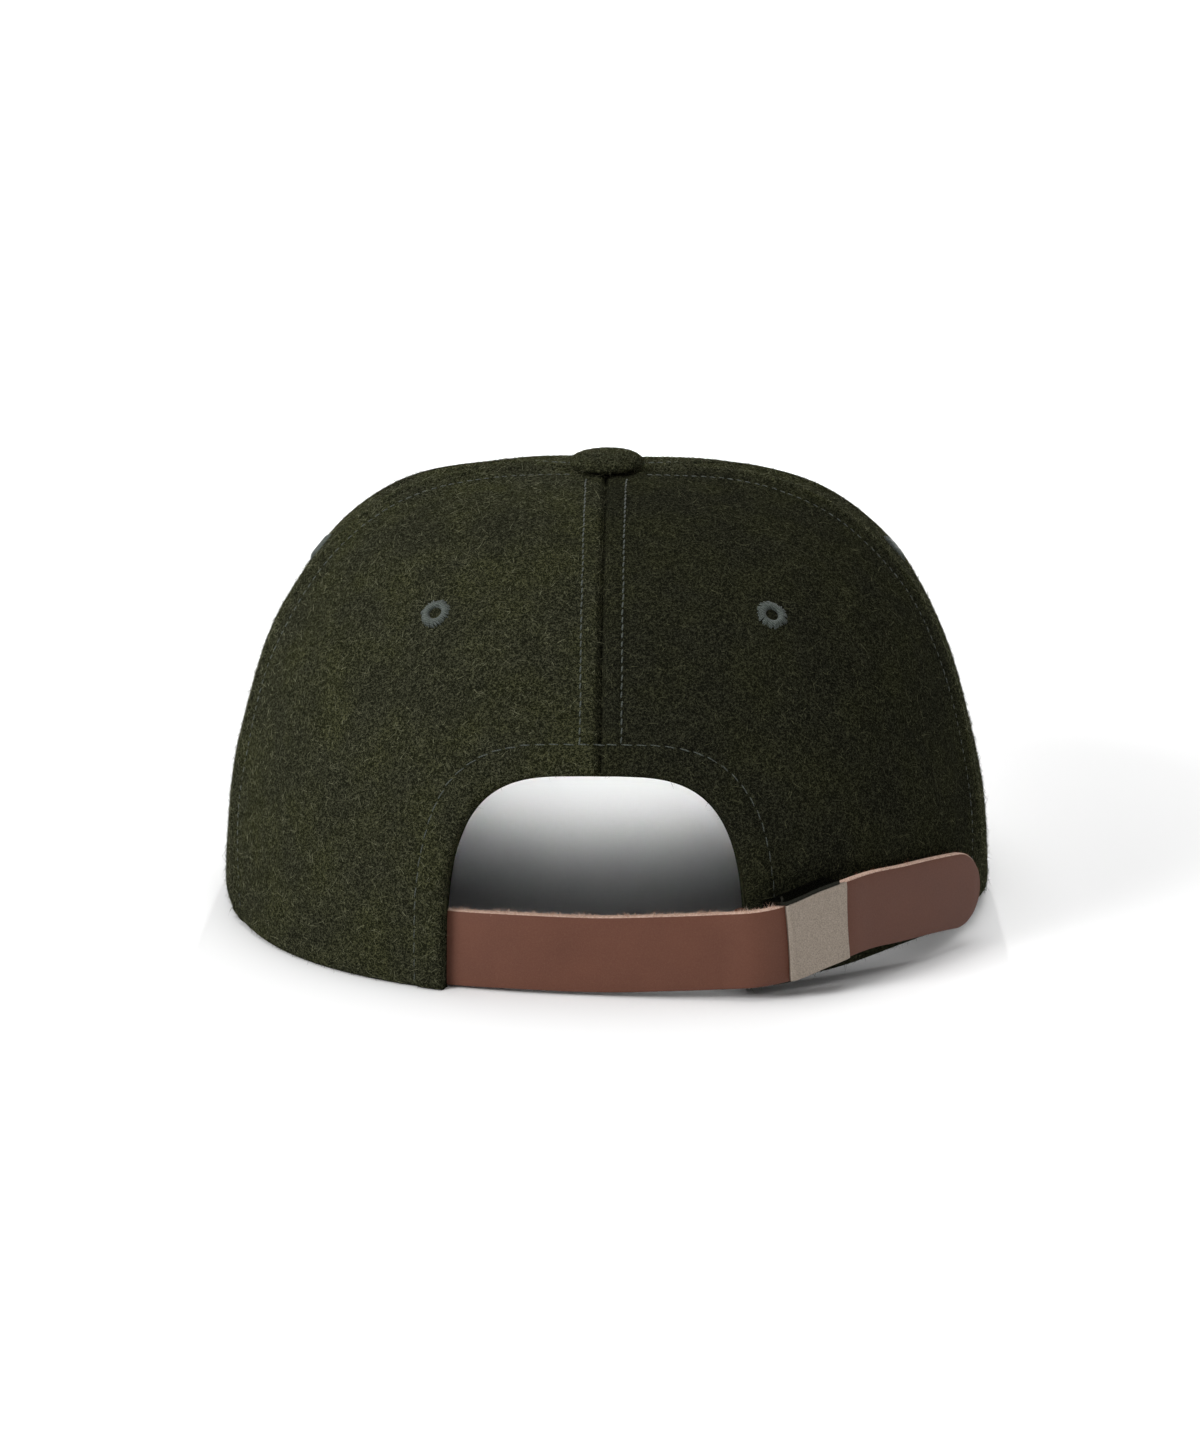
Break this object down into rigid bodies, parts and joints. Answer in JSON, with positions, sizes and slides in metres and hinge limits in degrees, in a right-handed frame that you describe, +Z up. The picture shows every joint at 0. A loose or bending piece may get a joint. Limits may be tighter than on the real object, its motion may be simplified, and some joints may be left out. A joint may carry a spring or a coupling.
{
  "type": "five-panel cap",
  "caption": "Felted wool cap with a covered button, curved brim, arched back opening and a leather strap closed by a metal buckle.",
  "frame": {"origin": "on the floor under the middle of the cap's outline", "axes": "+Y towards the brim's front edge, +Z up, +X to the wearer's right, on the buckle's side"},
  "size_m": [0.182, 0.2676, 0.1063],
  "materials": {
    "wool": "olive-green felted wool with short loose hairs",
    "band_cloth": "plain twill tape, dark green",
    "thread": "grey-green embroidery thread",
    "leather": "smooth brown leather with a raw pale edge",
    "nickel": "matt antique nickel with fine speckles"
  },
  "bodies": {
    "root": {"front_panel": "wool", "side_panel_left": "wool", "side_panel_right": "wool", "back_panel_left": "wool", "back_panel_right": "wool", "top_button": "wool", "brim": "wool", "sweatband": "band_cloth", "eyelet_back_left": "thread", "eyelet_back_right": "thread", "eyelet_side_left": "thread", "eyelet_side_right": "thread", "strap": "leather", "strap_keeper": "leather", "buckle_frame": "nickel", "buckle_plate": "nickel"}
  },
  "joints": []
}
